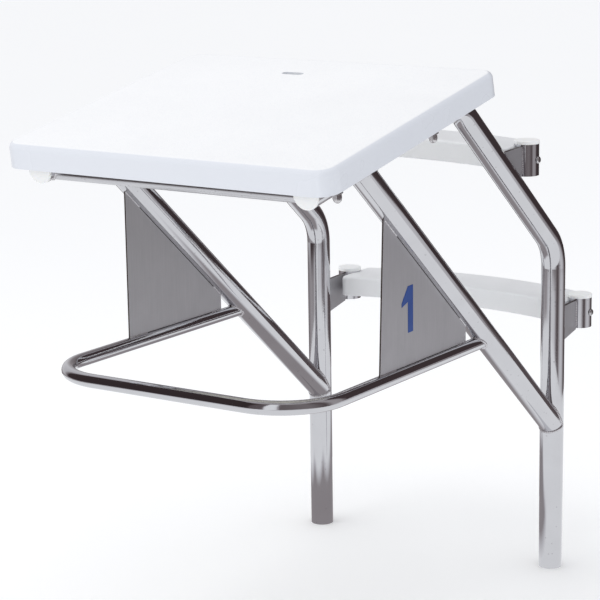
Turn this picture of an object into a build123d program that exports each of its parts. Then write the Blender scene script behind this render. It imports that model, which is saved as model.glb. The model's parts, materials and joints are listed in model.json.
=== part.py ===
from build123d import *
import math
import os

# Dual-post starting block: tube frame, tilted platform, backstroke grip bar and two rear steps.
# Millimetres, +Z up. The origin is midway between the lower ends of the two posts, -Y points to
# the pool, and the lane number is on the +X side, to the left of a swimmer who faces the water.

# ---------------------------------------------------------------- driving dimensions
# side frames: one bent tube each, a post, a slope and an arm under the platform
tube_od = 48.3
tube_wall = 3.7
post_spacing = 559.0
post_corner_drop = 250.0  # below the front rim of the platform
arm_corner_from_rear = 61.2  # ahead of the rear rim, along the platform
bend_radius = 90.0
anchor_depth = 150.0
anchor_relief = 0.3

# platform, placed by its front rim
platform_overhang = 62.5  # past the centre line of each arm
platform_depth = 602.0
platform_thickness = 44.6
platform_tilt = 10.0
platform_reach = 942.5
platform_front_height = 925.0
platform_corner_radius = 36.0
platform_edge_radius = 11.0
platform_draft = 2.0
shell_top = 8.0
shell_wall = 6.0
arm_drop = 8.5
slot_length = 46.0
slot_width = 14.0
slot_side_offset = 42.0
slot_from_rear = 101.0

# board and pads in the hollow of the platform
pad_thickness = 3.0
pad_width = 34.0
pad_skirt = 8.0
core_clearance = 1.5
core_margin = 4.0

pad_from_arm_end = 8.0
pad_past_cross = 80.0

# arm ends and platform fasteners
arm_setback = 26.0
plug_head = 5.0
plug_spigot = 22.0
plug_fit = 0.15
platform_bolt_d = 9.5
platform_bolt_clearance = 0.5
platform_bolt_front = 116.0
platform_bolt_from_rear = 154.0
hex_head_af = 14.3
hex_head_height = 6.4
head_sink = 0.6
washer_od = 22.0
washer_thickness = 1.6
acorn_af = 15.9
acorn_hex_height = 9.0
acorn_height = 18.0
acorn_depth = 12.0
acorn_dome_d = 15.0

# cross tubes
cross_tube_od = 28.6
cross_tube_wall = 2.1
front_cross_from_rim = 52.8
rear_cross_from_rear = 207.0

# braces
brace_foot_drop = 620.6  # below the front rim
brace_head_from_rim = 184.2

# backstroke grip bar
bar_od = 25.4
bar_wall = 2.1
bar_drop = 369.7  # centre line of the front run below the front rim
bar_setback = 6.0
bar_rise = 1.0  # degrees, climbing to the front
bar_corner_radius = 118.0

# fin plates and lane number
fin_thickness = 3.0
fin_from_brace = 90.0  # from the joint of grip bar and brace to the rear edge
fin_length = 303.0
right_fin_toe = 12.0  # the right plate leans: its foot stands further forward
right_fin_heel = 5.0  # and its head further back
number_height = 85.5
number_width = 40.2
number_stem = 18.0
number_flag = 7.6
number_flag_drop = 35.4  # from the top to the lower edge of the flag's tip
number_flag_root = 28.6  # from the top to where the flag leaves the stem
number_thickness = 0.5
number_setback = 64.0  # from the fin's front edge to the flag's tip
number_lift = 73.0  # above the grip bar's centre line

# step brackets, stub tubes and caps
bracket_thickness = 6.0
stub_length = 62.0
lower_stub_behind = 126.5  # behind the post
lower_stub_drop = 378.0  # its top below the front rim
upper_stub_gap = 9.2  # least gap between the stub's lower end and the slope
upper_stub_drop = 24.0
bracket_top_drop = 4.0
bracket_arch = 2.5
bracket_toe = 2.0
bracket_foot_drop = 22.0
cap_lip = 0.85
cap_thickness = 7.0
cap_edge_radius = 2.0
cap_spigot = 12.0
cap_fit = 0.15

# steps
step_height = 42.0
step_top_drop = 2.5
step_end_setback = 14.5  # inside the centre lines of the stub tubes
step_front_end = 67.0
step_rear_end = 50.0
step_front_bow = 44.0
step_rear_bow = 52.0
step_edge_radius = 6.0
step_corner_radius = 12.0
step_wall = 5.0
step_top = 6.0
step_end_block = 52.0
step_rib = 4.0
step_rib_pitch = 105.0
saddle_gap = 0.1

# step fasteners
step_bolt_rise = 13.5  # above the underside of the step
step_bolt_d = 8.0
step_bolt_clearance = 0.4
step_bolt_tip = 4.0
dome_head_d = 14.0
dome_head_height = 4.6
dome_rim = 0.7
dome_slot_width = 1.8
dome_slot_depth = 1.6
dome_slot_turn = 35.0
insert_od = 14.0
insert_length = 26.0
insert_setback = 8.0

# ---------------------------------------------------------------- derived values
tube_r = tube_od / 2
bar_r = bar_od / 2
half_spacing = post_spacing / 2
sides = {"left": -half_spacing, "right": half_spacing}
tilt = math.radians(platform_tilt)
tilt_along = (math.cos(tilt), math.sin(tilt))


def on_platform(along, above):
    """(y, z) of a point given along the rim plane from its front edge and above that plane."""
    y = -platform_reach + along * tilt_along[0] - above * tilt_along[1]
    z = platform_front_height + along * tilt_along[1] + above * tilt_along[0]
    return (y, z)


def crossing(start, direction, other_start, other_direction):
    """(y, z) where two lines of the side plane cross."""
    gap_y = other_start[0] - start[0]
    gap_z = other_start[1] - start[1]
    turn = direction[0] * other_direction[1] - direction[1] * other_direction[0]
    reach = (gap_y * other_direction[1] - gap_z * other_direction[0]) / turn
    return (start[0] + reach * direction[0], start[1] + reach * direction[1])


arm_level = -arm_drop
arm_end = on_platform(arm_setback, arm_level)
arm_corner = on_platform(platform_depth - arm_corner_from_rear, arm_level)
post_corner = (0.0, platform_front_height - post_corner_drop)
post_foot = (0.0, 0.0)
brace_foot = (0.0, platform_front_height - brace_foot_drop)
brace_head = on_platform(brace_head_from_rim, arm_level)
brace_length = math.dist(brace_foot, brace_head)
brace_up = (brace_head[0] / brace_length, (brace_head[1] - brace_foot[1]) / brace_length)
bar_front = (bar_setback - platform_reach, platform_front_height - bar_drop)
bar_back = (math.cos(math.radians(bar_rise)), -math.sin(math.radians(bar_rise)))
bar_joint = crossing(bar_front, bar_back, brace_foot, brace_up)
bar_depth = math.dist(bar_front, bar_joint)
arm_top = arm_level + tube_r
arm_bottom = arm_level - tube_r
core_bottom = arm_top + pad_thickness
core_top = platform_thickness - shell_top
cap_od = tube_od + 2 * cap_lip
step_half_length = half_spacing - step_end_setback
step_bolt_length = tube_od + insert_setback + insert_length + step_bolt_tip
rear_cross_from_rim = platform_depth - rear_cross_from_rear
slot_along = platform_depth - slot_from_rear
bolt_stations = (platform_bolt_front, platform_depth - platform_bolt_from_rear)
platform_normal = (0, -math.sin(tilt), math.cos(tilt))
rim_axis = Axis((0, 0, 0), platform_normal)


def rim_plane(above):
    """Plane parallel to the platform; its origin is over the middle of the front rim."""
    y, z = on_platform(0, above)
    return Plane(origin=(0, y, z), x_dir=(1, 0, 0), z_dir=platform_normal)


def arm_plane(x, along, above):
    """Plane parallel to the platform with its origin over one arm."""
    y, z = on_platform(along, above)
    return Plane(origin=(x, y, z), x_dir=(1, 0, 0), z_dir=platform_normal)


def brace_height(y):
    """Height of a brace's centre line at a place along Y."""
    return brace_foot[1] + y * brace_up[1] / brace_up[0]


def bar_height(y):
    """Height of the grip bar's centre line at a place along Y."""
    return bar_front[1] + (y - bar_front[0]) * bar_back[1] / bar_back[0]


def slope_place(z):
    """Y of the sloping tube's centre line at a height."""
    return (z - post_corner[1]) * arm_corner[0] / (arm_corner[1] - post_corner[1])


def arc_rise(x, half_chord, bow):
    """Height of a shallow arc above the ends of its chord, at x from the middle."""
    radius = (half_chord**2 + bow**2) / (2 * bow)
    return math.sqrt(radius**2 - x**2) - (radius - bow)


def save(node, name):
    """Label a finished piece and write it."""
    node.part.label = name
    export_step(node.part, f"parts/{name}.step")


os.makedirs("parts", exist_ok=True)

# ---------------------------------------------------------------- side frames and braces
side_envelope = {}
brace_envelope = {}
for side, x in sides.items():
    with BuildLine(Plane.YZ.offset(x)) as route:
        FilletPolyline(arm_end, arm_corner, post_corner, post_foot, radius=bend_radius)
    route_start = Plane(origin=route.line @ 0, z_dir=route.line % 0)
    with BuildPart() as envelope:
        with BuildSketch(route_start):
            Circle(tube_r)
        sweep(path=route.line)
    side_envelope[side] = envelope.part

    with BuildPart() as side_frame:
        with BuildSketch(route_start):
            Circle(tube_r)
            Circle(tube_r - tube_wall, mode=Mode.SUBTRACT)
        sweep(path=route.line)
        for station in bolt_stations:
            with BuildSketch(arm_plane(x, station, arm_level)):
                Circle(platform_bolt_d / 2 + platform_bolt_clearance)
            extrude(amount=tube_od, both=True, mode=Mode.SUBTRACT)
        # the foot is sized a little under the tube so that it slides into its deck anchor
        with BuildSketch(Plane.XY):
            with Locations((x, 0)):
                Circle(tube_od)
                Circle(tube_r - anchor_relief, mode=Mode.SUBTRACT)
        extrude(amount=anchor_depth, mode=Mode.SUBTRACT)
    save(side_frame, f"side_frame_{side}")

    brace_plane = Plane(origin=(x, *brace_foot), x_dir=(1, 0, 0), z_dir=(0, *brace_up))
    with BuildPart() as envelope:
        with BuildSketch(brace_plane):
            Circle(tube_r)
        extrude(amount=brace_length)
    brace_envelope[side] = envelope.part

    with BuildPart() as brace:
        with BuildSketch(brace_plane):
            Circle(tube_r)
            Circle(tube_r - tube_wall, mode=Mode.SUBTRACT)
        extrude(amount=brace_length)
        add(side_envelope[side], mode=Mode.SUBTRACT)
    save(brace, f"brace_{side}")

# ---------------------------------------------------------------- end plugs
arm_outward = (0, -tilt_along[0], -tilt_along[1])
for side, x in sides.items():
    with BuildPart() as front_plug:
        plug_plane = Plane(origin=(x, *arm_end), x_dir=(1, 0, 0), z_dir=arm_outward)
        with BuildSketch(plug_plane):
            Circle(tube_r)
        extrude(amount=plug_head)
        fillet(front_plug.edges().sort_by(Axis.Y)[0], radius=plug_head / 2)
        with BuildSketch(plug_plane):
            Circle(tube_r - tube_wall - plug_fit)
        extrude(amount=-plug_spigot)
    save(front_plug, f"front_plug_{side}")

# ---------------------------------------------------------------- cross tubes
# the front one is flush with the underside of the arms, the rear one with their top
front_cross_level = arm_level - tube_r + cross_tube_od / 2
rear_cross_level = arm_top - cross_tube_od / 2
cross_centres = {
    "front": on_platform(front_cross_from_rim, front_cross_level),
    "rear": on_platform(rear_cross_from_rim, rear_cross_level),
}
for name, centre in cross_centres.items():
    with BuildPart() as cross_tube:
        with BuildSketch(Plane(origin=(0, *centre), x_dir=(0, 1, 0), z_dir=(1, 0, 0))):
            Circle(cross_tube_od / 2)
            Circle(cross_tube_od / 2 - cross_tube_wall, mode=Mode.SUBTRACT)
        extrude(amount=half_spacing, both=True)
        for side in sides:
            add(side_envelope[side], mode=Mode.SUBTRACT)
    save(cross_tube, f"{name}_cross_tube")

# ---------------------------------------------------------------- backstroke grip bar
bar_plane = Plane(origin=(0, *bar_front), x_dir=(1, 0, 0), z_dir=(0, -bar_back[1], bar_back[0]))
with BuildLine(bar_plane) as route:
    FilletPolyline(
        (half_spacing, bar_depth),
        (half_spacing, 0),
        (-half_spacing, 0),
        (-half_spacing, bar_depth),
        radius=bar_corner_radius,
    )
route_start = Plane(origin=route.line @ 0, z_dir=route.line % 0)
with BuildPart() as bar_envelope:
    with BuildSketch(route_start):
        Circle(bar_r)
    sweep(path=route.line)

with BuildPart() as grip_bar:
    with BuildSketch(route_start):
        Circle(bar_r)
        Circle(bar_r - bar_wall, mode=Mode.SUBTRACT)
    sweep(path=route.line)
    for side in sides:
        add(brace_envelope[side], mode=Mode.SUBTRACT)
save(grip_bar, "backstroke_grip_bar")

# ---------------------------------------------------------------- fin plates and lane number
fin_rear = bar_joint[0] - fin_from_brace
fin_front = fin_rear - fin_length
for side, x in sides.items():
    fin_foot = fin_front
    fin_head = fin_front
    if side == "right":
        fin_foot = fin_front - right_fin_toe
        fin_head = fin_front + right_fin_heel
    with BuildPart() as fin_plate:
        with BuildSketch(Plane.YZ.offset(x)):
            with BuildLine():
                Polyline(
                    (fin_foot, bar_height(fin_foot)),
                    (fin_head, brace_height(fin_head)),
                    (fin_rear, brace_height(fin_rear)),
                    (fin_rear, bar_height(fin_rear)),
                    close=True,
                )
            make_face()
        extrude(amount=fin_thickness / 2, both=True)
        add(brace_envelope[side], mode=Mode.SUBTRACT)
        add(bar_envelope.part, mode=Mode.SUBTRACT)
    save(fin_plate, f"fin_plate_{side}")

with BuildPart() as lane_number:
    flag_tip = fin_front + number_setback
    stem_rear = flag_tip + number_width
    stem_front = stem_rear - number_stem
    number_base = bar_height(stem_rear) + number_lift
    number_top = number_base + number_height
    flag_foot = number_top - number_flag_drop
    with BuildSketch(Plane.YZ.offset(half_spacing + fin_thickness / 2)):
        with BuildLine():
            Polyline(
                (stem_rear, number_base),
                (stem_rear, number_top),
                (stem_front, number_top),
                (flag_tip, flag_foot + number_flag),
                (flag_tip, flag_foot),
                (stem_front, number_top - number_flag_root),
                (stem_front, number_base),
                close=True,
            )
        make_face()
    extrude(amount=number_thickness)
save(lane_number, "lane_number")

# ---------------------------------------------------------------- step brackets, stubs and caps
lower_stub_top = platform_front_height - lower_stub_drop
upper_stub_top = platform_front_height - upper_stub_drop
upper_stub_bottom_y = slope_place(upper_stub_top - stub_length)
slope_angle = math.atan2(arm_corner[1] - post_corner[1], -arm_corner[0])
upper_stub_behind = tube_r + (tube_r + upper_stub_gap) / math.sin(slope_angle)
step_levels = {
    "lower": (lower_stub_behind, lower_stub_top),
    "upper": (upper_stub_bottom_y + upper_stub_behind, upper_stub_top),
}
bolt_drop = step_top_drop + step_height - step_bolt_rise
for side, x in sides.items():
    for level, (stub_y, stub_top) in step_levels.items():
        stub_bottom = stub_top - stub_length
        with BuildPart() as stub_envelope:
            with BuildSketch(Plane.XY.offset(stub_bottom - stub_length)):
                with Locations((x, stub_y)):
                    Circle(tube_r)
            extrude(amount=3 * stub_length)

        plate_top = stub_top - bracket_top_drop
        if level == "lower":
            frame_top = (0.0, plate_top - bracket_arch)
            frame_bottom = (0.0, stub_bottom - bracket_foot_drop)
        else:
            frame_top = (slope_place(plate_top), plate_top - bracket_arch)
            frame_bottom = (slope_place(stub_bottom), stub_bottom)
        mid_y = (frame_top[0] + stub_y) / 2
        with BuildPart() as bracket:
            with BuildSketch(Plane.YZ.offset(x)):
                with BuildLine():
                    ThreePointArc(frame_top, (mid_y, plate_top), (stub_y, plate_top))
                    stub_foot = (stub_y, stub_bottom + bracket_toe)
                    Polyline((stub_y, plate_top), stub_foot, frame_bottom, frame_top)
                make_face()
            extrude(amount=bracket_thickness / 2, both=True)
            add(side_envelope[side], mode=Mode.SUBTRACT)
            add(stub_envelope.part, mode=Mode.SUBTRACT)
        save(bracket, f"{level}_step_bracket_{side}")

        with BuildPart() as stub:
            with BuildSketch(Plane.XY.offset(stub_bottom)):
                with Locations((x, stub_y)):
                    Circle(tube_r)
                    Circle(tube_r - tube_wall, mode=Mode.SUBTRACT)
            extrude(amount=stub_length)
            bolt_axis = Plane(origin=(x, stub_y, stub_top - bolt_drop), x_dir=(0, 1, 0), z_dir=(1, 0, 0))
            with BuildSketch(bolt_axis):
                Circle(step_bolt_d / 2 + step_bolt_clearance)
            extrude(amount=tube_od, both=True, mode=Mode.SUBTRACT)
        save(stub, f"{level}_step_stub_{side}")

        with BuildPart() as cap:
            with BuildSketch(Plane.XY.offset(stub_top)):
                with Locations((x, stub_y)):
                    Circle(cap_od / 2)
            extrude(amount=cap_thickness)
            fillet(cap.faces().sort_by(Axis.Z)[-1].edges(), radius=cap_edge_radius)
            with BuildSketch(Plane.XY.offset(stub_top)):
                with Locations((x, stub_y)):
                    Circle(tube_r - tube_wall - cap_fit)
            extrude(amount=-cap_spigot)
        save(cap, f"{level}_step_cap_{side}")

# ---------------------------------------------------------------- steps
for level, (stub_y, stub_top) in step_levels.items():
    step_ceiling = stub_top - step_top_drop
    step_floor = step_ceiling - step_height
    bolt_height = stub_top - bolt_drop
    front_y = stub_y - step_front_end
    rear_y = stub_y + step_rear_end
    with BuildPart() as step:
        with BuildSketch(Plane.XY.offset(step_floor)) as outline:
            with BuildLine():
                ThreePointArc(
                    (-step_half_length, front_y),
                    (0, front_y + step_front_bow),
                    (step_half_length, front_y),
                )
                Line((step_half_length, front_y), (step_half_length, rear_y))
                ThreePointArc(
                    (step_half_length, rear_y),
                    (0, rear_y + step_rear_bow),
                    (-step_half_length, rear_y),
                )
                Line((-step_half_length, rear_y), (-step_half_length, front_y))
            make_face()
            fillet(outline.vertices(), radius=step_corner_radius)
        extrude(amount=step_height)
        fillet(step.faces().sort_by(Axis.Z)[-1].edges(), radius=step_edge_radius)
        fillet(step.faces().sort_by(Axis.Z)[0].edges(), radius=step_edge_radius / 2)
        # hollow below, closed at both ends and divided by ribs
        inner_half = step_half_length - step_end_block
        inner_front = front_y + step_wall
        inner_rear = rear_y - step_wall
        pocket_front = inner_front + arc_rise(inner_half, step_half_length, step_front_bow)
        pocket_rear = inner_rear + arc_rise(inner_half, step_half_length, step_rear_bow)
        with BuildSketch(Plane.XY.offset(step_floor)):
            with BuildLine():
                ThreePointArc(
                    (-inner_half, pocket_front),
                    (0, inner_front + step_front_bow),
                    (inner_half, pocket_front),
                )
                Line((inner_half, pocket_front), (inner_half, pocket_rear))
                ThreePointArc(
                    (inner_half, pocket_rear),
                    (0, inner_rear + step_rear_bow),
                    (-inner_half, pocket_rear),
                )
                Line((-inner_half, pocket_rear), (-inner_half, pocket_front))
            make_face()
            mid_depth = (front_y + rear_y + step_rear_bow) / 2
            with Locations((0, mid_depth)):
                with GridLocations(step_rib_pitch, 0, 3, 1):
                    Rectangle(step_rib, 2 * step_half_length, mode=Mode.SUBTRACT)
        extrude(amount=step_height - step_top, mode=Mode.SUBTRACT)
        # half-round saddles that hug the stub tubes
        with BuildSketch(Plane.XY.offset(step_floor)):
            with GridLocations(post_spacing, 0, 2, 1):
                with Locations((0, stub_y)):
                    Circle(tube_r + saddle_gap)
        extrude(amount=step_height, mode=Mode.SUBTRACT)
        # holes for the threaded inserts and the bolt ends
        for side, x in sides.items():
            inward = -math.copysign(1, x)
            saddle_x = x + inward * tube_r
            with BuildSketch(Plane(origin=(x, stub_y, bolt_height), z_dir=(inward, 0, 0))):
                Circle(step_bolt_d / 2 + step_bolt_clearance)
            extrude(amount=tube_r + insert_length + 2 * insert_setback, mode=Mode.SUBTRACT)
            insert_x = saddle_x + inward * insert_setback
            with BuildSketch(Plane(origin=(insert_x, stub_y, bolt_height), z_dir=(inward, 0, 0))):
                Circle(insert_od / 2)
            extrude(amount=insert_length, mode=Mode.SUBTRACT)
    save(step, f"{level}_step")

# ---------------------------------------------------------------- step fasteners
bolt_seats = []
for side, x in sides.items():
    for stub_y, stub_top in step_levels.values():
        outward = math.copysign(1, x)
        bolt_seats.append((x, stub_y, stub_top - bolt_drop, outward))

with BuildPart() as step_bolts:
    for x, y, z, outward in bolt_seats:
        seat_x = x + outward * tube_r
        with BuildSketch(Plane(origin=(seat_x, y, z), x_dir=(0, 1, 0), z_dir=(outward, 0, 0))):
            Circle(dome_head_d / 2)
        extrude(amount=dome_head_height)
    for end in (0, -1):
        fillet(step_bolts.edges().group_by(Axis.X)[end], radius=dome_head_height - dome_rim)
    for x, y, z, outward in bolt_seats:
        seat_x = x + outward * tube_r
        slot_x = seat_x + outward * (dome_head_height - dome_slot_depth)
        with BuildSketch(Plane(origin=(slot_x, y, z), x_dir=(0, 1, 0), z_dir=(outward, 0, 0))):
            Rectangle(dome_head_d, dome_slot_width, rotation=dome_slot_turn)
        extrude(amount=dome_head_height, mode=Mode.SUBTRACT)
        with BuildSketch(Plane(origin=(seat_x, y, z), x_dir=(0, 1, 0), z_dir=(-outward, 0, 0))):
            Circle(step_bolt_d / 2)
        extrude(amount=step_bolt_length)
save(step_bolts, "step_bolts")

with BuildPart() as step_inserts:
    for x, y, z, outward in bolt_seats:
        mouth_x = x - outward * (tube_r + insert_setback)
        with BuildSketch(Plane(origin=(mouth_x, y, z), x_dir=(0, 1, 0), z_dir=(-outward, 0, 0))):
            Circle(insert_od / 2)
            Circle(step_bolt_d / 2, mode=Mode.SUBTRACT)
        extrude(amount=insert_length)
save(step_inserts, "step_inserts")

# ---------------------------------------------------------------- platform
platform_centre = (0, platform_depth / 2)
slot_centre = (-slot_side_offset, slot_along)
platform_width = post_spacing + 2 * platform_overhang
draft_inset = platform_thickness * math.tan(math.radians(platform_draft))
inner_width = platform_width - 2 * (shell_wall + draft_inset)
inner_depth = platform_depth - 2 * (shell_wall + draft_inset)

with BuildPart() as platform_shell:
    with BuildSketch(rim_plane(0)):
        with Locations(platform_centre):
            RectangleRounded(platform_width, platform_depth, platform_corner_radius)
    extrude(amount=platform_thickness, taper=platform_draft)
    fillet(platform_shell.faces().sort_by(rim_axis)[-1].edges(), radius=platform_edge_radius)
    with BuildSketch(rim_plane(0)):
        with Locations(platform_centre):
            RectangleRounded(inner_width, inner_depth, platform_corner_radius - shell_wall)
    extrude(amount=platform_thickness - shell_top, mode=Mode.SUBTRACT)
    with BuildSketch(rim_plane(0)):
        with Locations(slot_centre):
            SlotOverall(slot_length, slot_width)
    extrude(amount=2 * platform_thickness, mode=Mode.SUBTRACT)
save(platform_shell, "platform_shell")

with BuildPart() as platform_core:
    with BuildSketch(rim_plane(core_bottom)):
        with Locations(platform_centre):
            RectangleRounded(
                inner_width - 2 * core_margin,
                inner_depth - 2 * core_margin,
                platform_corner_radius - shell_wall - core_margin,
            )
        with Locations(slot_centre):
            SlotOverall(slot_length, slot_width, mode=Mode.SUBTRACT)
    extrude(amount=core_top - core_bottom)
    for x in sides.values():
        for station in bolt_stations:
            with BuildSketch(arm_plane(x, station, core_bottom)):
                Circle(platform_bolt_d / 2 + platform_bolt_clearance)
            extrude(amount=core_top - core_bottom, mode=Mode.SUBTRACT)
            with BuildSketch(arm_plane(x, station, core_top - head_sink - hex_head_height)):
                Circle(hex_head_af / math.sqrt(3) + core_clearance)
            extrude(amount=head_sink + hex_head_height, mode=Mode.SUBTRACT)
save(platform_core, "platform_core")

pad_front = arm_setback + pad_from_arm_end
pad_length = rear_cross_from_rim + pad_past_cross - pad_front
for side, x in sides.items():
    with BuildPart() as saddle_pad:
        with BuildSketch(arm_plane(x, pad_front, arm_top - pad_skirt)):
            with Locations((0, pad_length / 2)):
                Rectangle(pad_width, pad_length)
        extrude(amount=pad_skirt + pad_thickness)
        add(side_envelope[side], mode=Mode.SUBTRACT)
        with BuildSketch(Plane(origin=(x, *cross_centres["rear"]), x_dir=(0, 1, 0), z_dir=(1, 0, 0))):
            Circle(cross_tube_od / 2 + core_clearance)
        extrude(amount=pad_width, both=True, mode=Mode.SUBTRACT)
        for station in bolt_stations:
            with BuildSketch(arm_plane(x, station, arm_top - pad_skirt)):
                Circle(platform_bolt_d / 2 + platform_bolt_clearance)
            extrude(amount=pad_skirt + pad_thickness, mode=Mode.SUBTRACT)
    save(saddle_pad, f"saddle_pad_{side}")

# ---------------------------------------------------------------- platform fasteners
platform_seats = [(x, station) for x in sides.values() for station in bolt_stations]
washer_level = arm_bottom - washer_thickness
head_base = core_top - head_sink - hex_head_height

with BuildPart() as platform_bolts:
    for x, station in platform_seats:
        with BuildSketch(arm_plane(x, station, head_base)):
            RegularPolygon(hex_head_af / 2, 6, major_radius=False)
        extrude(amount=hex_head_height)
        with BuildSketch(arm_plane(x, station, head_base)):
            Circle(platform_bolt_d / 2)
        extrude(amount=washer_level - acorn_depth - head_base)
save(platform_bolts, "platform_bolts")

with BuildPart() as platform_washers:
    for x, station in platform_seats:
        with BuildSketch(arm_plane(x, station, washer_level)):
            Circle(washer_od / 2)
            Circle(platform_bolt_d / 2 + platform_bolt_clearance, mode=Mode.SUBTRACT)
        extrude(amount=washer_thickness)
save(platform_washers, "platform_washers")

dome_r = acorn_dome_d / 2
with BuildPart() as acorn_nuts:
    for x, station in platform_seats:
        with BuildSketch(arm_plane(x, station, washer_level)):
            RegularPolygon(acorn_af / 2, 6, major_radius=False)
        extrude(amount=-acorn_hex_height)
        with Locations(arm_plane(x, station, washer_level - acorn_height + dome_r)):
            Sphere(dome_r)
            Cylinder(dome_r, acorn_height - dome_r, align=(Align.CENTER, Align.CENTER, Align.MIN))
        with BuildSketch(arm_plane(x, station, washer_level)):
            Circle(platform_bolt_d / 2)
        extrude(amount=-acorn_depth, mode=Mode.SUBTRACT)
save(acorn_nuts, "platform_acorn_nuts")
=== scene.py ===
import json
import math

import bmesh
import bpy
from mathutils import Matrix, Vector


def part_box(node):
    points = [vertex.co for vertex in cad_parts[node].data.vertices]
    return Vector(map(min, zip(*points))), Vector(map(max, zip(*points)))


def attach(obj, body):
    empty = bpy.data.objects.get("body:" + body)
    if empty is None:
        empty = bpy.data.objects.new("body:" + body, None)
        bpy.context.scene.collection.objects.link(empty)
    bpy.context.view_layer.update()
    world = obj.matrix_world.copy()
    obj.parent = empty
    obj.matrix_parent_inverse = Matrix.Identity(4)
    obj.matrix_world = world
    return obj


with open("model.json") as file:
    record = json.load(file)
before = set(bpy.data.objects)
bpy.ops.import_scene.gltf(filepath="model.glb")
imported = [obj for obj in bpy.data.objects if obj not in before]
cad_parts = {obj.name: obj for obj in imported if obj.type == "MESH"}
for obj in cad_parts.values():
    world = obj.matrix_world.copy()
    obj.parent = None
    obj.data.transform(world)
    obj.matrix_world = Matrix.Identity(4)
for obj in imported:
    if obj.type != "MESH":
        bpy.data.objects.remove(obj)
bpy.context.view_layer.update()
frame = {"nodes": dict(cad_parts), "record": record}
root = "root"

# ---------------------------------------------------------------- camera, floor and lights
camera_place = (2.1355, -3.8059, 1.5277)
camera_turn = math.radians(32.93)
camera_pitch = math.radians(12.80)  # down from level
camera_roll = math.radians(-0.896)
camera_lens = 128.06
floor_half = 40.0
floor_squares = 8
light_aim = Vector((0.0, -0.4, 0.6))

# ---------------------------------------------------------------- sizes of the weld beads and seams
tube_bead_r = 0.0026
plate_bead_r = 0.0017
crevice_r = 0.0009
bead_pitch = 0.0036
bead_sides = 8
bead_steps = 5  # rings along each ripple
bead_hollow = 0.80  # radius between two ripples, as a share of the bead's
bead_swell = 0.24  # what a ripple's crest adds to it
bead_tip = 0.35  # radius at an open end, as a share of the full one
bead_tip_rise = 0.4  # what each ring from an open end adds to it
ring_steps = 180
least_steps = 3
stitch_long = 0.056
stitch_short = 0.034
right_fin_lean = 0.017
stub_seam_ends = (0.004, 0.001)  # bare steel below and above each bracket bead
post_seam_ends = (0.008, 0.004)
slope_seam_ends = (0.022, 0.018)

# ---------------------------------------------------------------- lines of the tube frame, at x = 0
across = Vector((1.0, 0.0, 0.0))
up = Vector((0.0, 0.0, 1.0))
mounts = {mount["name"]: mount for mount in frame["record"]["mounts"]}
platform_up = Vector(mounts["platform_top"]["axis"])
platform_along = Vector((0.0, platform_up.z, -platform_up.y))
half_spacing = mounts["right_post_end"]["pos_m"][0]
sides = {"left": across * -half_spacing, "right": across * half_spacing}
tube_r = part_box("side_frame_right")[1][0] - half_spacing
bar_r = 0.0127
cross_r = 0.0143
fin_half = 0.0015
bracket_half = 0.003
rim_front = Vector((0.0, -0.9425, 0.925))
arm_level = -0.0085
arm_corner_run = 0.5408
brace_head_run = 0.1842
front_cross_run = 0.0528
rear_cross_run = 0.395
post_corner = Vector((0.0, 0.0, 0.675))
brace_foot = Vector((0.0, 0.0, 0.3044))
bar_front = Vector((0.0, -0.9365, 0.5553))
bar_tilt = math.radians(1.0)
bar_back = Vector((0.0, math.cos(bar_tilt), -math.sin(bar_tilt)))


def on_arm(run):
    """Point on an arm's centre line, given along the platform from its front rim."""
    return rim_front + platform_along * run + platform_up * arm_level


arm_corner = on_arm(arm_corner_run)
brace_head = on_arm(brace_head_run)
brace_mid = (brace_foot + brace_head) / 2
brace_up = (brace_head - brace_foot).normalized()
slope_up = (arm_corner - post_corner).normalized()
cross_offset = platform_up * (tube_r - cross_r)
front_cross = on_arm(front_cross_run) - cross_offset
rear_cross = on_arm(rear_cross_run) + cross_offset


# ---------------------------------------------------------------- node helpers
def fill(tree, sockets, values):
    """Link each output and set each plain value; in a socket's name, _ stands for a space."""
    for key, value in values.items():
        socket = sockets[key.replace("_", " ") if isinstance(key, str) else key]
        if isinstance(value, bpy.types.NodeSocket):
            tree.links.new(value, socket)
        else:
            socket.default_value = value


def add_node(tree, kind, inputs=None, **settings):
    """A node with its settings and inputs."""
    node = tree.nodes.new(kind)
    for key, value in settings.items():
        setattr(node, key, value)
    fill(tree, node.inputs, inputs or {})
    return node


def maths(tree, operation, first, second=0.0, clamp=False):
    """Output of a Math node."""
    inputs = {0: first, 1: second}
    return add_node(tree, "ShaderNodeMath", inputs, operation=operation, use_clamp=clamp).outputs[0]


def share_of(tree, value, share):
    """A value turned down to a share of itself."""
    return maths(tree, "MULTIPLY", value, share)


def vector_maths(tree, operation, first, second, output="Vector"):
    """Output of a Vector Math node with two vectors."""
    inputs = {0: first, 1: second}
    return add_node(tree, "ShaderNodeVectorMath", inputs, operation=operation).outputs[output]


def scaled(tree, vector, factor):
    """A vector times a number."""
    inputs = {0: vector, "Scale": factor}
    return add_node(tree, "ShaderNodeVectorMath", inputs, operation="SCALE").outputs["Vector"]


def remap(tree, value, low, high, to_low=0.0, to_high=1.0):
    """A value stretched from one range to another and clamped."""
    inputs = {"Value": value, "From Min": low, "From Max": high, "To Min": to_low, "To Max": to_high}
    return add_node(tree, "ShaderNodeMapRange", inputs).outputs["Result"]


def between(tree, share, low, high):
    """A share from 0 to 1 turned into a value between two others."""
    return remap(tree, share, 0.0, 1.0, low, high)


def blend(tree, factor, first, second):
    """Two colours mixed by a factor."""
    inputs = {0: factor, 6: first, 7: second}
    return add_node(tree, "ShaderNodeMix", inputs, data_type="RGBA").outputs[2]


def axes_of(tree, vector):
    """The X, Y and Z outputs of a vector."""
    return add_node(tree, "ShaderNodeSeparateXYZ", {"Vector": vector}).outputs


def object_place(tree):
    """Position in the piece's own space, which is the frame's."""
    return add_node(tree, "ShaderNodeTexCoord").outputs["Object"]


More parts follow.
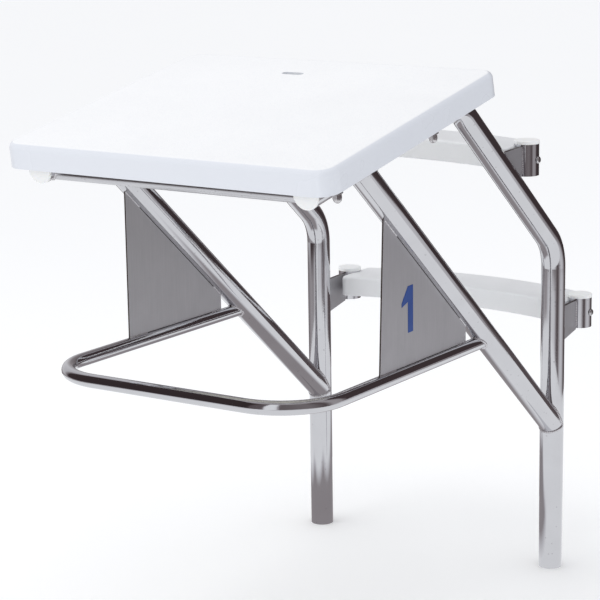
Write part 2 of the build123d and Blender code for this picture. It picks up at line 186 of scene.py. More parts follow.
def face_normal(tree):
    """Direction that the surface faces."""
    return add_node(tree, "ShaderNodeNewGeometry").outputs["Normal"]


def noise(tree, place, scale, detail, **inputs):
    """Value of a Noise texture."""
    given = {"Vector": place, "Scale": scale, "Detail": detail, **inputs}
    return add_node(tree, "ShaderNodeTexNoise", given).outputs["Fac"]


def cells(tree, place, scale, channel, **settings):
    """Distance from a cell's centre, and that cell's own random value."""
    texture = add_node(tree, "ShaderNodeTexVoronoi", {"Vector": place, "Scale": scale}, **settings)
    chance = add_node(tree, "ShaderNodeSeparateColor", {"Color": texture.outputs["Color"]})
    return texture.outputs["Distance"], chance.outputs[channel]


def bump(tree, height, strength, distance, normal=None):
    """Normal output of a Bump node."""
    inputs = {"Height": height, "Strength": strength, "Distance": distance}
    if normal is not None:
        inputs["Normal"] = normal
    return add_node(tree, "ShaderNodeBump", inputs).outputs["Normal"]


def colour(red, green, blue):
    """An opaque colour."""
    return (red, green, blue, 1.0)


def grey(level):
    """An opaque grey."""
    return colour(level, level, level)


def ramp(tree, factor, stops):
    """Colour of a ramp; a stop's level is one number or a colour."""
    node = add_node(tree, "ShaderNodeValToRGB", {"Fac": factor})
    elements = node.color_ramp.elements
    while len(elements) > 1:
        elements.remove(elements[-1])
    for count, (place, level) in enumerate(stops):
        element = elements[0] if count == 0 else elements.new(place)
        element.position = place
        element.color = level if isinstance(level, tuple) else grey(level)
    return node.outputs["Color"]


def new_material(name):
    """An empty material with its Principled shader wired to the output."""
    material = bpy.data.materials.new(name)
    material.use_nodes = True
    tree = material.node_tree
    tree.nodes.clear()
    shader = add_node(tree, "ShaderNodeBsdfPrincipled")
    add_node(tree, "ShaderNodeOutputMaterial", {"Surface": shader.outputs["BSDF"]})
    return material, tree, shader.inputs


def new_group(name, inputs, outputs):
    """A shader node group with typed sockets: (name, type, default)."""
    group = bpy.data.node_groups.new(name, "ShaderNodeTree")
    for label, kind, default in inputs:
        socket = group.interface.new_socket(label, in_out="INPUT", socket_type="NodeSocket" + kind)
        socket.default_value = default
    for label, kind in outputs:
        group.interface.new_socket(label, in_out="OUTPUT", socket_type="NodeSocket" + kind)
    start = group.nodes.new("NodeGroupInput")
    end = group.nodes.new("NodeGroupOutput")
    return group, start.outputs, end.inputs


def use_group(tree, group, **values):
    """Outputs of a group placed in a material with its own values."""
    return add_node(tree, "ShaderNodeGroup", values, node_tree=group).outputs


# ---------------------------------------------------------------- shared effects
coarse_line_share = 0.31  # scale of the coarse belt lines to the fine ones
bevel_samples = 4
wipe_haze = 0.12  # roughness that wipe marks add to plastic
wave_depth = 2.0  # height of the flow waves against the orange peel
pebble_depth = 0.5  # height of the pebble against the sand grains


def build_polish_lines():
    """Fine lines left by a polishing belt, running along a given direction."""
    group, given, result = new_group(
        "polish_lines",
        [("Along", "Vector", (0, 0, 1)), ("Fineness", "Float", 900.0), ("Length", "Float", 14.0)],
        [("Lines", "Float"), ("Coarse", "Float")],
    )
    place = object_place(group)
    run = vector_maths(group, "DOT_PRODUCT", place, given["Along"], "Value")
    along = scaled(group, given["Along"], run)
    wide = scaled(group, vector_maths(group, "SUBTRACT", place, along), given["Fineness"])
    stretched = vector_maths(group, "ADD", wide, scaled(group, along, given["Length"]))
    fine = noise(group, stretched, scale=1.0, detail=3.0, Roughness=0.6)
    coarser = scaled(group, stretched, coarse_line_share)
    coarse = noise(group, coarser, scale=1.0, detail=2.0)
    lines = remap(group, fine, 0.35, 0.65)
    fill(group, result, {"Lines": lines, "Coarse": remap(group, coarse, 0.38, 0.62)})
    return group


def build_handling_marks():
    """Cloudy wipe marks and dried water spots."""
    group, given, result = new_group(
        "handling_marks",
        [("Cloud Scale", "Float", 9.0), ("Spot Scale", "Float", 130.0), ("Spot Share", "Float", 0.1)],
        [("Clouds", "Float"), ("Spots", "Float")],
    )
    place = object_place(group)
    clouds = noise(group, place, given["Cloud Scale"], detail=4.0, Roughness=0.55, Distortion=0.4)
    distance, chance = cells(group, place, given["Spot Scale"], "Red")
    ring = remap(group, distance, 0.18, 0.34, 1.0, 0.0)
    spots = maths(group, "MULTIPLY", ring, maths(group, "LESS_THAN", chance, given["Spot Share"]))
    fill(group, result, {"Clouds": remap(group, clouds, 0.35, 0.7), "Spots": spots})
    return group


def build_grit():
    """Sand cast into a resin skin: small irregular grains on a fine pebble."""
    group, given, result = new_group(
        "grit",
        [("Scale", "Float", 500.0), ("Cover", "Float", 0.5)],
        [("Height", "Float"), ("Grains", "Float")],
    )
    place = object_place(group)
    pebble = noise(group, place, given["Scale"], detail=2.0)
    distance, chance = cells(group, place, given["Scale"], "Green")
    kept = maths(group, "LESS_THAN", chance, given["Cover"])
    peaks = maths(group, "MULTIPLY", remap(group, distance, 0.0, 0.55, 1.0, 0.0), kept)
    height = maths(group, "ADD", peaks, share_of(group, pebble, pebble_depth))
    fill(group, result, {"Height": height, "Grains": peaks})
    return group


def build_worn_edges():
    """Mask of the outer edges of a part, broken up so that it isn't a clean line."""
    group, given, result = new_group(
        "worn_edges",
        [("Radius", "Float", 0.0015), ("Break", "Float", 160.0)],
        [("Mask", "Float"), ("Normal", "Vector")],
    )
    bevel = add_node(group, "ShaderNodeBevel", {"Radius": given["Radius"]}, samples=bevel_samples)
    rounded = bevel.outputs["Normal"]
    facing = vector_maths(group, "DOT_PRODUCT", rounded, face_normal(group), "Value")
    edge = remap(group, facing, 0.995, 0.85)
    broken = noise(group, object_place(group), given["Break"], detail=3.0)
    mask = maths(group, "MULTIPLY", edge, remap(group, broken, 0.35, 0.6, 0.2, 1.0))
    fill(group, result, {"Mask": mask, "Normal": rounded})
    return group


def build_moulded_skin():
    """Slight orange peel and long flow waves of a moulded plastic surface."""
    group, given, result = new_group(
        "moulded_skin",
        [("Peel", "Float", 420.0), ("Waves", "Float", 7.0)],
        [("Height", "Float"), ("Tone", "Float")],
    )
    place = object_place(group)
    peel = noise(group, place, given["Peel"], detail=2.0)
    waves = noise(group, place, given["Waves"], detail=3.0)
    height = maths(group, "ADD", peel, maths(group, "MULTIPLY", waves, wave_depth))
    fill(group, result, {"Height": height, "Tone": remap(group, waves, 0.3, 0.7)})
    return group


polish_lines = build_polish_lines()
handling_marks = build_handling_marks()
grit = build_grit()
worn_edges = build_worn_edges()
moulded_skin = build_moulded_skin()

# ---------------------------------------------------------------- colours
steel_tone = colour(0.640, 0.637, 0.662)
steel_dull = colour(0.548, 0.540, 0.562)
plate_tone = colour(0.490, 0.480, 0.500)
plate_dull = colour(0.415, 0.405, 0.425)
plate_cut = colour(0.085, 0.060, 0.058)
fastener_tone = colour(0.66, 0.64, 0.65)
fastener_edge = colour(0.80, 0.79, 0.80)
weld_bright = colour(0.74, 0.73, 0.75)
weld_smoke = colour(0.42, 0.38, 0.40)
weld_blue = colour(0.20, 0.19, 0.24)
# Near-black strip in the fins' seams: painted shade, faintly mottled.
seam_shade_black = colour(0.020, 0.015, 0.016)
seam_shade_mottle = colour(0.055, 0.044, 0.044)
# The rim's colours are darker and bluer than the deck's: painted shade on the shell's sides and
# front.
shaded_rim_pale = colour(0.800, 0.823, 0.872)
shaded_rim_dim = colour(0.782, 0.807, 0.860)
grit_hollow = colour(0.950, 0.953, 0.958)
grit_grain = colour(0.865, 0.882, 0.915)
grit_trodden = colour(0.845, 0.850, 0.862)
step_light = colour(0.875, 0.885, 0.90)
step_shade = colour(0.845, 0.858, 0.875)
plug_light = colour(0.935, 0.94, 0.94)
plug_shade = colour(0.905, 0.91, 0.905)
scuff_tone = colour(0.70, 0.71, 0.72)
board_light = colour(0.74, 0.72, 0.62)
board_shade = colour(0.66, 0.64, 0.55)
board_fibre = colour(0.80, 0.78, 0.70)
rubber_black = colour(0.030, 0.030, 0.032)
rubber_bloom = colour(0.075, 0.074, 0.072)
brass_bright = colour(0.70, 0.52, 0.25)
brass_dull = colour(0.52, 0.38, 0.18)
vinyl_deep = colour(0.011, 0.050, 0.235)
vinyl_faded = colour(0.018, 0.066, 0.275)


# ---------------------------------------------------------------- materials
def frame_direction(tree):
    """Polish direction by height: the post's, the slope's, and over the upper corner the arm's."""
    height = axes_of(tree, object_place(tree))["Z"]
    over_post = maths(tree, "GREATER_THAN", height, post_corner.z)
    over_slope = maths(tree, "GREATER_THAN", height, arm_corner.z)
    lower = blend(tree, over_post, colour(*up), colour(*slope_up))
    return blend(tree, over_slope, lower, colour(*platform_along))


def polished_steel(name, along=None, rough=0.045):
    """Mirror-polished stainless tube with belt lines along it, or along a side frame's own bends."""
    material, tree, shader = new_material(name)
    direction = frame_direction(tree) if along is None else tuple(along)
    grain = use_group(tree, polish_lines, Along=direction, Fineness=1500.0, Length=9.0)
    marks = use_group(tree, handling_marks, Cloud_Scale=11.0, Spot_Scale=150.0, Spot_Share=0.06)
    film = maths(tree, "ADD", share_of(tree, marks["Clouds"], 0.35), marks["Spots"], clamp=True)
    lined = maths(tree, "ADD", share_of(tree, grain["Lines"], 0.03), rough)
    hazy = maths(tree, "ADD", share_of(tree, marks["Clouds"], 0.05), lined)
    look = {
        "Base Color": blend(tree, film, steel_tone, steel_dull),
        "Roughness": maths(tree, "ADD", hazy, share_of(tree, marks["Spots"], 0.12), clamp=True),
        "Normal": bump(tree, grain["Coarse"], strength=0.06, distance=0.0002),
        "Metallic": 1.0,
    }
    fill(tree, shader, look)
    return material


def brushed_plate(name, rough):
    """Brushed stainless sheet: upright grain lines, dark cut edges."""
    material, tree, shader = new_material(name)
    grain = use_group(tree, polish_lines, Along=tuple(up), Fineness=1100.0, Length=12.0)
    marks = use_group(tree, handling_marks, Cloud_Scale=14.0, Spot_Scale=110.0, Spot_Share=0.05)
    edges = use_group(tree, worn_edges, Radius=0.0008, Break=220.0)
    brushed = blend(tree, share_of(tree, grain["Lines"], 0.5), plate_tone, plate_dull)
    clouded = blend(tree, share_of(tree, marks["Clouds"], 0.3), brushed, plate_dull)
    polished = blend(tree, edges["Mask"], clouded, steel_tone)
    sideways = maths(tree, "ABSOLUTE", axes_of(tree, face_normal(tree))["X"])
    cut = remap(tree, sideways, 0.45, 0.75, 1.0, 0.0)
    lined = maths(tree, "ADD", share_of(tree, grain["Lines"], 0.10), rough)
    look = {
        "Base Color": blend(tree, cut, polished, plate_cut),
        "Roughness": maths(tree, "ADD", lined, share_of(tree, marks["Clouds"], 0.06)),
        "Normal": bump(tree, grain["Lines"], strength=0.12, distance=0.0001, normal=edges["Normal"]),
        "Metallic": 0.6,
    }
    fill(tree, shader, look)
    return material


def bright_fastener():
    """Cold-formed stainless nuts, washers and bolt heads."""
    material, tree, shader = new_material("bright_fastener")
    marks = use_group(tree, handling_marks, Cloud_Scale=90.0, Spot_Scale=600.0, Spot_Share=0.12)
    edges = use_group(tree, worn_edges, Radius=0.0006, Break=700.0)
    tone = blend(tree, share_of(tree, marks["Clouds"], 0.5), fastener_tone, steel_dull)
    look = {
        "Base Color": blend(tree, edges["Mask"], tone, fastener_edge),
        "Roughness": between(tree, marks["Clouds"], 0.14, 0.26),
        "Normal": edges["Normal"],
        "Metallic": 1.0,
    }
    fill(tree, shader, look)
    return material


def weld_metal():
    """Bright weld bead with smoky and blue heat tint in patches."""
    material, tree, shader = new_material("weld_metal")
    marks = use_group(tree, handling_marks, Cloud_Scale=160.0, Spot_Scale=900.0, Spot_Share=0.2)
    smoky = blend(tree, share_of(tree, marks["Clouds"], 0.6), weld_bright, weld_smoke)
    look = {
        "Base Color": blend(tree, share_of(tree, marks["Spots"], 0.5), smoky, weld_blue),
        "Roughness": between(tree, marks["Clouds"], 0.20, 0.42),
        "Normal": bump(tree, marks["Clouds"], strength=0.3, distance=0.0003),
        "Metallic": 1.0,
    }
    fill(tree, shader, look)
    return material


def painted_seam_shade():
    """Painted shade along an unwelded seam: a near-black strip with faint mottling."""
    material, tree, shader = new_material("painted_seam_shade")
    marks = use_group(tree, handling_marks, Cloud_Scale=120.0, Spot_Scale=700.0, Spot_Share=0.3)
    look = {
        "Base Color": blend(tree, marks["Clouds"], seam_shade_black, seam_shade_mottle),
        "Roughness": between(tree, marks["Spots"], 0.70, 0.50),
        "Normal": bump(tree, marks["Clouds"], strength=0.3, distance=0.0002),
    }
    fill(tree, shader, look)
    return material


def gelcoat():
    """White gelcoat: gritted on the standing surface, smooth and coated round the rim, whose colours
    are darker and bluer than the deck's as painted shade.
    """
    material, tree, shader = new_material("white_gelcoat")
    facing_up = vector_maths(tree, "DOT_PRODUCT", face_normal(tree), platform_up, "Value")
    flat = remap(tree, facing_up, 0.90, 0.985)
    sand = use_group(tree, grit, Scale=430.0, Cover=0.55)
    skin = use_group(tree, moulded_skin, Peel=260.0, Waves=6.0)
    marks = use_group(tree, handling_marks, Cloud_Scale=5.0, Spot_Scale=70.0, Spot_Share=0.04)
    # Darker, bluer rim colour against the deck's: painted shade.
    rim = blend(tree, skin["Tone"], shaded_rim_pale, shaded_rim_dim)
    speckled = blend(tree, sand["Grains"], grit_hollow, grit_grain)
    trodden = blend(tree, share_of(tree, marks["Clouds"], 0.25), speckled, grit_trodden)
    gloss = between(tree, skin["Tone"], 0.24, 0.32)
    grains = maths(tree, "MULTIPLY", sand["Height"], flat)
    relief = maths(tree, "ADD", grains, share_of(tree, skin["Height"], 0.08))
    look = {
        "Base Color": blend(tree, flat, rim, trodden),
        "Roughness": maths(tree, "ADD", gloss, share_of(tree, flat, 0.34)),
        "Normal": bump(tree, relief, strength=0.45, distance=0.0005),
        "Coat Weight": between(tree, flat, 0.30, 0.0),
        "Coat Roughness": 0.12,
        "Specular IOR Level": 0.45,
    }
    fill(tree, shader, look)
    return material


def moulded_plastic(name, light, shade, rough, translucence=0.0):
    """White polyolefin: orange peel, faint scuffs, slightly lighter worn edges."""
    material, tree, shader = new_material(name)
    skin = use_group(tree, moulded_skin, Peel=520.0, Waves=10.0)
    marks = use_group(tree, handling_marks, Cloud_Scale=16.0, Spot_Scale=240.0, Spot_Share=0.08)
    edges = use_group(tree, worn_edges, Radius=0.0012, Break=180.0)
    tone = blend(tree, skin["Tone"], light, shade)
    scuffed = blend(tree, share_of(tree, marks["Spots"], 0.25), tone, scuff_tone)
    look = {
        "Base Color": blend(tree, share_of(tree, edges["Mask"], 0.5), scuffed, light),
        "Roughness": between(tree, marks["Clouds"], rough, rough + wipe_haze),
        "Normal": bump(tree, skin["Height"], strength=0.10, distance=0.0003, normal=edges["Normal"]),
        "Subsurface Weight": translucence,
        "Subsurface Radius": (0.006, 0.005, 0.004),
        "Specular IOR Level": 0.4,
    }
    fill(tree, shader, look)
    return material


def laminate_board():
    """Core board: chopped glass strands in pale resin."""
    material, tree, shader = new_material("laminate_board")
    place = object_place(tree)
    patch = cells(tree, place, scale=60.0, channel="Blue", distance="MANHATTAN")[1]
    wave = {"Vector": place, "Scale": 180.0, "Distortion": 9.0, "Detail": 3.0}
    fibres = add_node(tree, "ShaderNodeTexWave", wave).outputs["Fac"]
    tone = blend(tree, patch, board_light, board_shade)
    look = {
        "Base Color": blend(tree, share_of(tree, fibres, 0.4), tone, board_fibre),
        "Roughness": between(tree, fibres, 0.42, 0.62),
        "Normal": bump(tree, fibres, strength=0.35, distance=0.0005),
    }
    fill(tree, shader, look)
    return material


def neoprene():
    """Black rubber pad with chalky bloom."""
    material, tree, shader = new_material("neoprene")
    marks = use_group(tree, handling_marks, Cloud_Scale=40.0, Spot_Scale=400.0, Spot_Share=0.2)
    look = {
        "Base Color": blend(tree, marks["Clouds"], rubber_black, rubber_bloom),
        "Roughness": between(tree, marks["Clouds"], 0.62, 0.82),
        "Normal": bump(tree, marks["Clouds"], strength=0.2, distance=0.0003),
    }
    fill(tree, shader, look)
    return material


def turned_brass():
    """Brass insert with lathe lines and a dull film."""
    material, tree, shader = new_material("turned_brass")
    grain = use_group(tree, polish_lines, Along=tuple(up), Fineness=600.0, Length=300.0)
    look = {
        "Base Color": blend(tree, grain["Coarse"], brass_bright, brass_dull),
        "Roughness": between(tree, grain["Lines"], 0.28, 0.42),
        "Metallic": 1.0,
    }
    fill(tree, shader, look)
    return material


def number_vinyl():
    """Blue cut vinyl with slight fading and a fine film texture."""
    material, tree, shader = new_material("number_vinyl")
    skin = use_group(tree, moulded_skin, Peel=900.0, Waves=18.0)
    look = {
        "Base Color": blend(tree, skin["Tone"], vinyl_deep, vinyl_faded),
        "Roughness": between(tree, skin["Tone"], 0.30, 0.40),
        "Normal": bump(tree, skin["Height"], strength=0.06, distance=0.0002),
    }
    fill(tree, shader, look)
    return material


fastener_steel = bright_fastener()
weld_steel = weld_metal()
seam_shade_material = painted_seam_shade()
plug_plastic = moulded_plastic("plug_plastic", plug_light, plug_shade, rough=0.42, translucence=0.08)
step_plastic = moulded_plastic("step_plastic", step_light, step_shade, rough=0.32)

finishes = {
    "side_frame_": polished_steel("steel_side_frame"),
    "brace_": polished_steel("steel_brace", brace_up),
    "_stub_": polished_steel("steel_stub", up),
    "cross_tube": polished_steel("steel_cross_tube", across, rough=0.26),
    "backstroke_grip_bar": polished_steel("steel_grip_bar", across, rough=0.035),
    "fin_plate_": brushed_plate("plate_fin", rough=0.42),
    "_bracket_": brushed_plate("plate_bracket", rough=0.30),
    "platform_bolts": fastener_steel,
    "platform_washers": fastener_steel,
    "platform_acorn_nuts": fastener_steel,
    "step_bolts": fastener_steel,
    "platform_shell": gelcoat(),
    "platform_core": laminate_board(),
    "saddle_pad_": neoprene(),
    "step_inserts": turned_brass(),
    "lane_number": number_vinyl(),
    "_cap_": plug_plastic,
    "front_plug_": plug_plastic,
    "lower_step": step_plastic,
    "upper_step": step_plastic,
}


def finish_nodes():
    """Give each CAD node the finish whose key is in its name; the first that fits is used."""
    for name, node in frame["nodes"].items():
        finish = next(material for key, material in finishes.items() if key in name)
        for slot in node.material_slots:
            slot.link = "OBJECT"
            slot.material = finish


finish_nodes()


# ---------------------------------------------------------------- weld beads
def resample(points, spacing, closed):
    """The same path with evenly spaced points."""
    path = points + [points[0]] if closed else points
    lengths = [0.0]
    for start, end in zip(path, path[1:]):
        lengths.append(lengths[-1] + (end - start).length)
    count = max(least_steps, round(lengths[-1] / spacing))
    result = []
    place = 0
    for step in range(count if closed else count + 1):
        reach = lengths[-1] * step / count
        while place < len(path) - 2 and lengths[place + 1] < reach:
            place += 1
        share = (reach - lengths[place]) / (lengths[place + 1] - lengths[place])
        result.append(path[place].lerp(path[place + 1], share))
    return result


def add_bead(mesh, points, radius, closed=False):
    """A rippled weld bead along a path, in a bmesh."""
    path = resample(points, bead_pitch / bead_steps, closed)
    count = len(path)
    rings = []
    side = None
    for place, centre in enumerate(path):
        ahead = path[(place + 1) % count] if closed else path[min(place + 1, count - 1)]
        behind = path[place - 1] if closed else path[max(place - 1, 0)]
        direction = (ahead - behind).normalized()
        if side is None:
            side = direction.orthogonal().normalized()
        side = (side - direction * side.dot(direction)).normalized()
        other = direction.cross(side)
        ripple = bead_hollow + bead_swell * abs(math.sin(math.pi * place / bead_steps))
        if not closed:
            from_end = min(place, count - 1 - place)
            ripple *= min(1.0, bead_tip + bead_tip_rise * from_end)
        ring = []
        for step in range(bead_sides):
            turn = 2 * math.pi * step / bead_sides
            offset = side * math.cos(turn) + other * math.sin(turn)
            ring.append(mesh.verts.new(centre + offset * radius * ripple))
        rings.append(ring)
    if closed:
        first = rings[0]
        last = rings[-1]
        shift = min(range(bead_sides), key=lambda k: (first[k].co - last[0].co).length)
        rings.append(first[shift:] + first[:shift])
    for first, second in zip(rings, rings[1:]):
        for step in range(bead_sides):
            after = (step + 1) % bead_sides
            mesh.faces.new((first[step], first[after], second[after], second[step]))
    if not closed:
        mesh.faces.new(list(reversed(rings[0])))
        mesh.faces.new(rings[-1])


def add_object(name, mesh, material):
    """An object made from a bmesh, with its material."""
    data = bpy.data.meshes.new(name)
    mesh.to_mesh(data)
    mesh.free()
    data.materials.append(material)
    piece = bpy.data.objects.new(name, data)
    bpy.context.scene.collection.objects.link(piece)
    return piece


def add_piece(name, mesh, material):
    """A smooth-shaded piece from a bmesh, riding on the frame."""
    bmesh.ops.recalc_face_normals(mesh, faces=mesh.faces)
    for face in mesh.faces:
        face.smooth = True
    piece = add_object(name, mesh, material)
    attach(piece, root)


def coped_ring(centre, direction, radius, target, target_along, target_r):
    """Joint curve where a tube, coming along a direction, meets a target tube."""
    first = direction.orthogonal().normalized()
    second = direction.cross(first)
    curve = []
    for step in range(ring_steps):
        turn = 2 * math.pi * step / ring_steps
        start = centre + (first * math.cos(turn) + second * math.sin(turn)) * radius
        gap = start - target
        gap -= target_along * gap.dot(target_along)
        run = direction - target_along * direction.dot(target_along)
        square = run.dot(run)
        half = gap.dot(run)
        depth = max(half * half - square * (gap.dot(gap) - target_r * target_r), 0.0)
        curve.append(start + direction * ((-half - math.sqrt(depth)) / square))
    return curve


def bead_rings(name, joints):
    """One piece that holds the closed beads of several joints."""
    mesh = bmesh.new()
    for joint in joints:
        add_bead(mesh, coped_ring(*joint), tube_bead_r, closed=True)
    add_piece(name, mesh, weld_steel)


def build_tube_welds():
    """Beads round the ends of the braces, the grip bar and the cross tubes."""
    feet = []
    heads = []
    bars = []
    front_ends = []
    rear_ends = []
    for side in sides.values():
        outward = side.normalized()
        brace = side + brace_mid
        arm = (side + brace_head, platform_along, tube_r)
        feet.append((brace, -brace_up, tube_r, side, up, tube_r))
        heads.append((brace, brace_up, tube_r, *arm))
        bars.append((side + bar_front, bar_back, bar_r, side + brace_foot, brace_up, tube_r))
        front_ends.append((front_cross, outward, cross_r, *arm))
        rear_ends.append((rear_cross, outward, cross_r, *arm))
    bead_rings("brace_foot_welds", feet)
    bead_rings("brace_head_welds", heads)
    bead_rings("grip_bar_welds", bars)
    bead_rings("cross_tube_welds", front_ends + rear_ends)


def seam_lines(line, out, half_plate, radius):
    """The two lines, one on each face of a plate, along which it meets a round tube."""
    depth = math.sqrt(radius * radius - half_plate * half_plate)
    offsets = (out * depth - across * half_plate, out * depth + across * half_plate)
    return [[point + offset for point in line] for offset in offsets]


def y_on(line_start, line_along, y):
    """Point of a side-plane line at a place along Y."""
    return line_start + line_along * ((y - line_start.y) / line_along.y)


def build_fin_welds():
    """Stitch welds at both ends of each fin's two seams, and between them a near-black strip of
    painted shade in the seam.
    """
    mesh = bmesh.new()
    crevice = bmesh.new()
    below_brace = Vector((0.0, -brace_up.z, brace_up.y))
    above_bar = Vector((0.0, -bar_back.z, bar_back.y))
    under_reach = tube_r * brace_up.z
    for name, lean in (("left", 0.0), ("right", right_fin_lean)):
        low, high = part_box(f"fin_plate_{name}")
        head_start = y_on(brace_foot, brace_up, low[1] + lean + under_reach)
        head_end = y_on(brace_foot, brace_up, high[1] + under_reach)
        foot_start = y_on(bar_front, bar_back, low[1])
        foot_end = y_on(bar_front, bar_back, high[1])
        head = seam_lines((head_start, head_end), below_brace, fin_half, tube_r)
        foot = seam_lines((foot_start, foot_end), above_bar, fin_half, bar_r)
        for start, end in head + foot:
            start += sides[name]
            end += sides[name]
            run = (end - start).normalized()
            add_bead(mesh, [start, start + run * stitch_long], plate_bead_r)
            add_bead(mesh, [end - run * stitch_short, end], plate_bead_r)
            # The dark strip along each whole seam is painted shade.
            add_bead(crevice, [start, end], crevice_r)
    add_piece("fin_seam_shade", crevice, seam_shade_material)
    add_piece("fin_welds", mesh, weld_steel)


def upright_seam(y, low, high, bare):
    """A plate's seam with an upright tube, with bare steel left at both ends."""
    return (Vector((0.0, y, low + bare[0])), Vector((0.0, y, high - bare[1])))


def slope_seam(low, high, bare):
    """A plate's seam with the slope of a side frame."""
    run = slope_up / slope_up.z
    heights = (low + bare[0], high - bare[1])
    return tuple(post_corner + run * (height - post_corner.z) for height in heights)


def build_bracket_welds():
    """Full-length beads where each bracket plate meets its stub and the frame tube."""
    mesh = bmesh.new()
    forward = Vector((0.0, -1.0, 0.0))
    behind_slope = Vector((0.0, slope_up.z, -slope_up.y))
    for level in ("lower", "upper"):
        for name, side in sides.items():
            plate_low, plate_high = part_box(f"{level}_step_bracket_{name}")
            stub_low, stub_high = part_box(f"{level}_step_stub_{name}")
            stub_y = (stub_low[1] + stub_high[1]) / 2
            stub_foot = max(stub_low[2], plate_low[2])
            stub_line = upright_seam(stub_y, stub_foot, plate_high[2], stub_seam_ends)
            seams = seam_lines(stub_line, forward, bracket_half, tube_r)
            if level == "lower":
                frame_line = upright_seam(0.0, plate_low[2], plate_high[2], post_seam_ends)
                seams += seam_lines(frame_line, -forward, bracket_half, tube_r)
            else:
                frame_line = slope_seam(plate_low[2], plate_high[2], slope_seam_ends)
                seams += seam_lines(frame_line, behind_slope, bracket_half, tube_r)
            for start, end in seams:
                add_bead(mesh, [start + side, end + side], plate_bead_r)
    add_piece("bracket_welds", mesh, weld_steel)


build_tube_welds()
build_fin_welds()
build_bracket_welds()

# ---------------------------------------------------------------- what the polished steel mirrors
reflector_r = 1.8
reflector_y = -0.36
reflector_height = 3.2
reflector_sunk = -0.001
reflector_sides = 96
floor_edge = 0.002  # height at which the wall's levels take over from the floor's
flag_foot_y = (-1.4, 0.6)  # the flags' lower edge rises along Y between these
flag_foot_z = (0.16, 0.33)
flag_blur = 0.08
shade_left_x = (-0.75, -0.55)
shade_right_x = (0.22, 0.04)
shade_front_y = (-0.45, -0.30)
horizon_blur = 0.04
ceiling_level = 0.42
floor_level = 0.95
floor_shade = 0.34
# brightness round the wall, by degrees from the pool side towards +X: near the floor, then above it
low_levels = [
    (-180, 0.13), (-120, 0.22), (-75, 0.42), (-50, 0.36), (-38, 0.40), (-28, 0.60), (-8, 0.76),
    (2, 0.92), (9, 1.0), (17, 0.80), (21, 0.62), (25, 0.80), (44, 0.78), (54, 0.74), (66, 0.38),
    (76, 0.13), (90, 0.12), (101, 0.50), (115, 0.76), (131, 0.64), (141, 0.34), (149, 0.12),
    (165, 0.10), (180, 0.13),
]
high_levels = [
    (-180, 0.06), (-158, 0.20), (-135, 0.28), (-115, 0.70), (-84, 0.62), (-70, 0.05), (-10, 0.04),
    (-6, 0.12), (8, 0.14), (11, 1.0), (22, 1.0), (26, 0.16), (60, 0.22), (84, 0.10), (98, 0.40),
    (117, 0.36), (127, 0.06), (165, 0.05), (180, 0.06),
]
reflection_tints = [
    (0.0, colour(0.004, 0.002, 0.002)),
    (0.08, colour(0.085, 0.064, 0.067)),
    (0.35, colour(0.36, 0.335, 0.345)),
    (0.7, colour(0.69, 0.69, 0.715)),
    (1.0, colour(0.965, 0.985, 1.0)),
]
daylight_span = (-0.9, 0.9)
daylight_bright = colour(0.985, 0.99, 1.0)
daylight_dim = colour(0.76, 0.775, 0.81)
floor_pale = grey(0.985)
floor_cloud = grey(0.975)


# ---------------------------------------------------------------- floor, light and camera
def build_floor():
    """A plain pale studio floor under the posts."""
    mesh = bmesh.new()
    bmesh.ops.create_grid(mesh, x_segments=floor_squares, y_segments=floor_squares, size=floor_half)
    material, tree, shader = new_material("studio_floor")
    clouds = noise(tree, object_place(tree), scale=0.8, detail=2.0)
    look = {
        "Base Color": blend(tree, clouds, floor_pale, floor_cloud),
        "Emission Color": grey(1.0),
        "Emission Strength": 0.085,
        "Roughness": 0.9,
        "Specular IOR Level": 0.1,
    }
    fill(tree, shader, look)
    floor = add_object("studio_floor", mesh, material)
    floor.visible_glossy = False


def build_world():
    """Soft white studio light; metal sees a white floor and a grey ceiling past the reflector."""
    world = bpy.data.worlds.new("studio")
    bpy.context.scene.world = world
    world.use_nodes = True
    world.cycles.sampling_method = "NONE"
    tree = world.node_tree
    tree.nodes.clear()
    axes = axes_of(tree, add_node(tree, "ShaderNodeTexCoord").outputs["Generated"])
    level = remap(tree, axes["Z"], -horizon_blur, horizon_blur, floor_level, ceiling_level)
    mirrored = ramp(tree, level, reflection_tints)
    daylight = blend(tree, remap(tree, axes["X"], *daylight_span), daylight_bright, daylight_dim)
    glossy = add_node(tree, "ShaderNodeLightPath").outputs["Is Glossy Ray"]
    light = {"Color": blend(tree, glossy, daylight, mirrored), "Strength": 1.0}
    background = add_node(tree, "ShaderNodeBackground", light)
    add_node(tree, "ShaderNodeOutputWorld", {"Surface": background.outputs[0]})


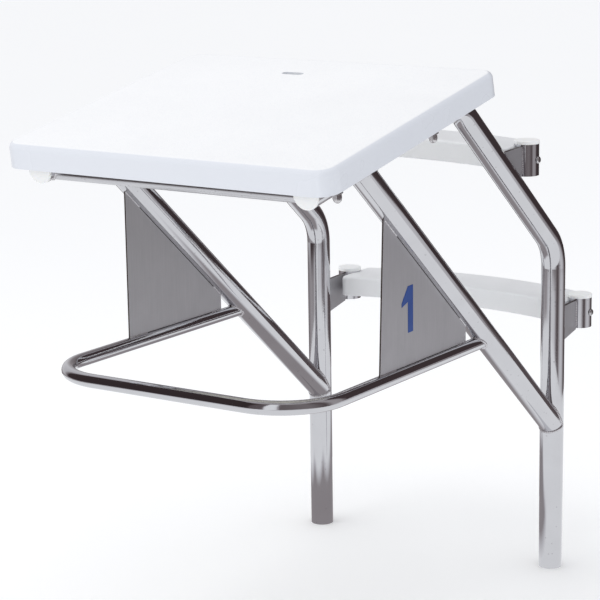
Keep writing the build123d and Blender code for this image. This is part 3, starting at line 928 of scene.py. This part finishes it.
def reflector_light():
    """Glow of the reflector: soft boxes and dark flags on its wall, a shaded patch on its floor."""
    material = bpy.data.materials.new("reflector_wall")
    material.use_nodes = True
    material.cycles.emission_sampling = "NONE"
    tree = material.node_tree
    tree.nodes.clear()
    axes = axes_of(tree, object_place(tree))
    turn = maths(tree, "ARCTAN2", axes["X"], maths(tree, "SUBTRACT", reflector_y, axes["Y"]))
    share = maths(tree, "ADD", maths(tree, "DIVIDE", turn, 2 * math.pi), 0.5)
    rings = []
    for levels in (low_levels, high_levels):
        rings.append(ramp(tree, share, [((degrees + 180) / 360, level) for degrees, level in levels]))
    foot = remap(tree, axes["Y"], *flag_foot_y, *flag_foot_z)
    lift = remap(tree, maths(tree, "SUBTRACT", axes["Z"], foot), 0.0, flag_blur)
    wall = blend(tree, lift, *rings)
    left = remap(tree, axes["X"], *shade_left_x)
    right = remap(tree, axes["X"], *shade_right_x)
    front = remap(tree, axes["Y"], *shade_front_y)
    shade = maths(tree, "MULTIPLY", maths(tree, "MULTIPLY", left, right), front)
    floor = blend(tree, shade, grey(floor_level), grey(floor_shade))
    level = blend(tree, remap(tree, axes["Z"], 0.0, floor_edge), floor, wall)
    light = {"Color": ramp(tree, level, reflection_tints), "Strength": 1.0}
    glow = add_node(tree, "ShaderNodeEmission", light)
    add_node(tree, "ShaderNodeOutputMaterial", {"Surface": glow.outputs[0]})
    return material


def build_reflector():
    """A round open-topped wall that only polished surfaces see."""
    mesh = bmesh.new()
    bmesh.ops.create_cone(
        mesh,
        segments=reflector_sides,
        radius1=reflector_r,
        radius2=reflector_r,
        depth=reflector_height,
        cap_ends=True,
        matrix=Matrix.Translation((0.0, reflector_y, reflector_height / 2 + reflector_sunk)),
    )
    lid = max(mesh.faces, key=lambda face: face.calc_center_median().z)
    bmesh.ops.delete(mesh, geom=[lid], context="FACES_ONLY")
    wall = add_object("reflector_wall", mesh, reflector_light())
    wall.visible_camera = False
    wall.visible_diffuse = False
    wall.visible_shadow = False


def add_panel(name, place, size, power, tint):
    """A soft rectangular light, aimed at the block, that metal doesn't mirror."""
    data = bpy.data.lights.new(name, "AREA")
    data.shape = "RECTANGLE"
    data.size = size
    data.size_y = size
    data.energy = power
    data.color = tint
    lamp = bpy.data.objects.new(name, data)
    bpy.context.scene.collection.objects.link(lamp)
    lamp.location = place
    lamp.rotation_euler = (light_aim - Vector(place)).to_track_quat("-Z", "Y").to_euler()
    lamp.visible_glossy = False


def build_lights():
    """A large panel overhead and a smaller one from the pool side."""
    add_panel("top_light", (-0.6, -0.9, 3.6), size=2.6, power=16.0, tint=(1.0, 0.99, 0.98))
    add_panel("pool_side_light", (-1.8, -3.4, 1.6), size=1.8, power=9.0, tint=(0.98, 0.99, 1.0))


def build_camera():
    """The camera, off the block's pool-side corner, with the colours shown as they are."""
    data = bpy.data.cameras.new("camera")
    data.lens = camera_lens
    camera = bpy.data.objects.new("camera", data)
    turn = Matrix.Rotation(camera_turn, 4, "Z")
    pitch = Matrix.Rotation(math.pi / 2 - camera_pitch, 4, "X")
    roll = Matrix.Rotation(camera_roll, 4, "Z")
    camera.matrix_world = Matrix.Translation(camera_place) @ turn @ pitch @ roll
    bpy.context.scene.collection.objects.link(camera)
    bpy.context.scene.camera = camera
    bpy.context.scene.view_settings.view_transform = "Standard"


build_floor()
build_world()
build_reflector()
build_lights()
build_camera()
